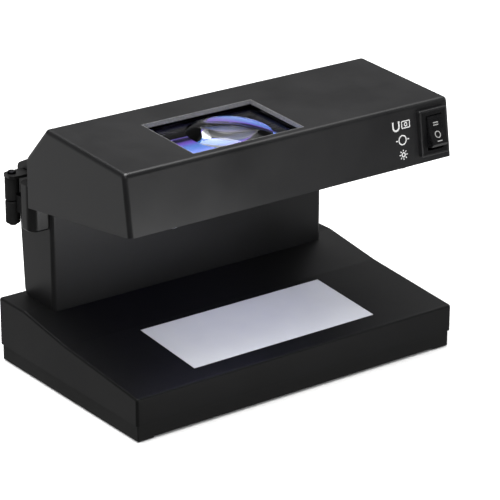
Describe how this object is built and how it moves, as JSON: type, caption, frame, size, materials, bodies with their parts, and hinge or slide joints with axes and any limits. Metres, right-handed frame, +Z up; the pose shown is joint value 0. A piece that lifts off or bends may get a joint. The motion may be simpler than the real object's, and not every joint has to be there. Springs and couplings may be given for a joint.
{
  "type": "counterfeit bill detector",
  "caption": "Desktop banknote checker: wedge base, rear column, overhanging lamp head with a magnifier window, rocker switch and a magnetic swipe sensor.",
  "frame": {"origin": "on the table, under the centre of the whole body's box", "axes": "+X towards the switch side along the head, +Y to the rear, +Z up"},
  "size_m": [0.1962, 0.1254, 0.1379],
  "materials": {
    "black_abs": "fine-grained satin black",
    "black_abs_lower": "fine-grained satin black",
    "black_abs_column": "fine-grained satin black",
    "black_abs_head": "fine-grained satin black",
    "black_abs_sensor": "satin black",
    "foot_rubber": "matte",
    "gland_rubber": "matte",
    "roller_rubber": "matte",
    "screw_steel": "zinc plated",
    "pin_steel": "turned",
    "arm_steel": "black coated",
    "spring_steel": "drawn wire",
    "head_steel": "polished",
    "core_steel": "stacked sheet",
    "coil_tape": "yellow tape",
    "circuit_board": "green lacquer",
    "panel_led": "clear cast",
    "opal_acrylic": "opal, satin face",
    "buzzer_plastic": "black",
    "fuse_glass": "clear",
    "lens_acrylic": "clear, polished",
    "bright_aluminium": "bright rolled",
    "uv_tube_glass": "lit long-wave lamp",
    "cap_aluminium": "plain",
    "holder_plastic": "white",
    "switch_nylon": "black",
    "rocker_nylon": "black",
    "terminal_brass": "plain"
  },
  "bodies": {
    "housing": {"base_upper_shell": "black_abs", "base_bottom_tray": "black_abs_lower", "rubber_feet": "foot_rubber", "base_screws": "screw_steel", "light_panel": "opal_acrylic", "panel_led_board": "circuit_board", "panel_leds": "panel_led", "control_board": "circuit_board", "board_screws": "screw_steel", "ballast_core": "core_steel", "ballast_coil": "coil_tape", "buzzer": "buzzer_plastic", "fuse": "fuse_glass", "cord_gland": "gland_rubber", "column_shell": "black_abs_column", "column_screws": "screw_steel", "column_rear_cover": "black_abs_column", "cover_screws": "screw_steel", "head_upper_shell": "black_abs_head", "head_lower_cover": "black_abs_lower", "head_screws": "screw_steel", "magnifier_lens": "lens_acrylic", "lens_retainer": "black_abs_lower", "lamp_reflector": "bright_aluminium", "uv_tube_front": "uv_tube_glass", "uv_tube_rear": "uv_tube_glass", "tube_end_caps": "cap_aluminium", "lamp_holders": "holder_plastic", "switch_housing": "switch_nylon", "switch_terminals": "terminal_brass", "sensor_housing": "black_abs_sensor", "magnetic_head": "head_steel"},
    "rocker": {"switch_rocker": "rocker_nylon"},
    "sensor_arm": {"pressure_arm": "arm_steel", "roller_pin": "pin_steel", "arm_spring": "spring_steel"},
    "lower_roller": {"pressure_roller_lower": "roller_rubber"},
    "upper_roller": {"pressure_roller_upper": "roller_rubber"}
  },
  "joints": [
    {"name": "rocker_tilt", "type": "hinge", "parent": "housing", "child": "rocker", "pos_m": [0.0857, -0.05524, 0.11874], "axis": [1, 0, 0], "range_deg": [0, 30]},
    {"name": "arm_slide", "type": "slide", "parent": "housing", "child": "sensor_arm", "axis": [0, 1, 0], "range_m": [0, 0.0025], "stiffness_N_per_m": 400, "springref_m": -0.003},
    {"name": "lower_roller_spin", "type": "hinge", "parent": "sensor_arm", "child": "lower_roller", "pos_m": [-0.0932, 0.05434, 0.08], "axis": [0, 0, 1], "continuous": true},
    {"name": "upper_roller_spin", "type": "hinge", "parent": "sensor_arm", "child": "upper_roller", "pos_m": [-0.0932, 0.05434, 0.092], "axis": [0, 0, 1], "continuous": true}
  ]
}
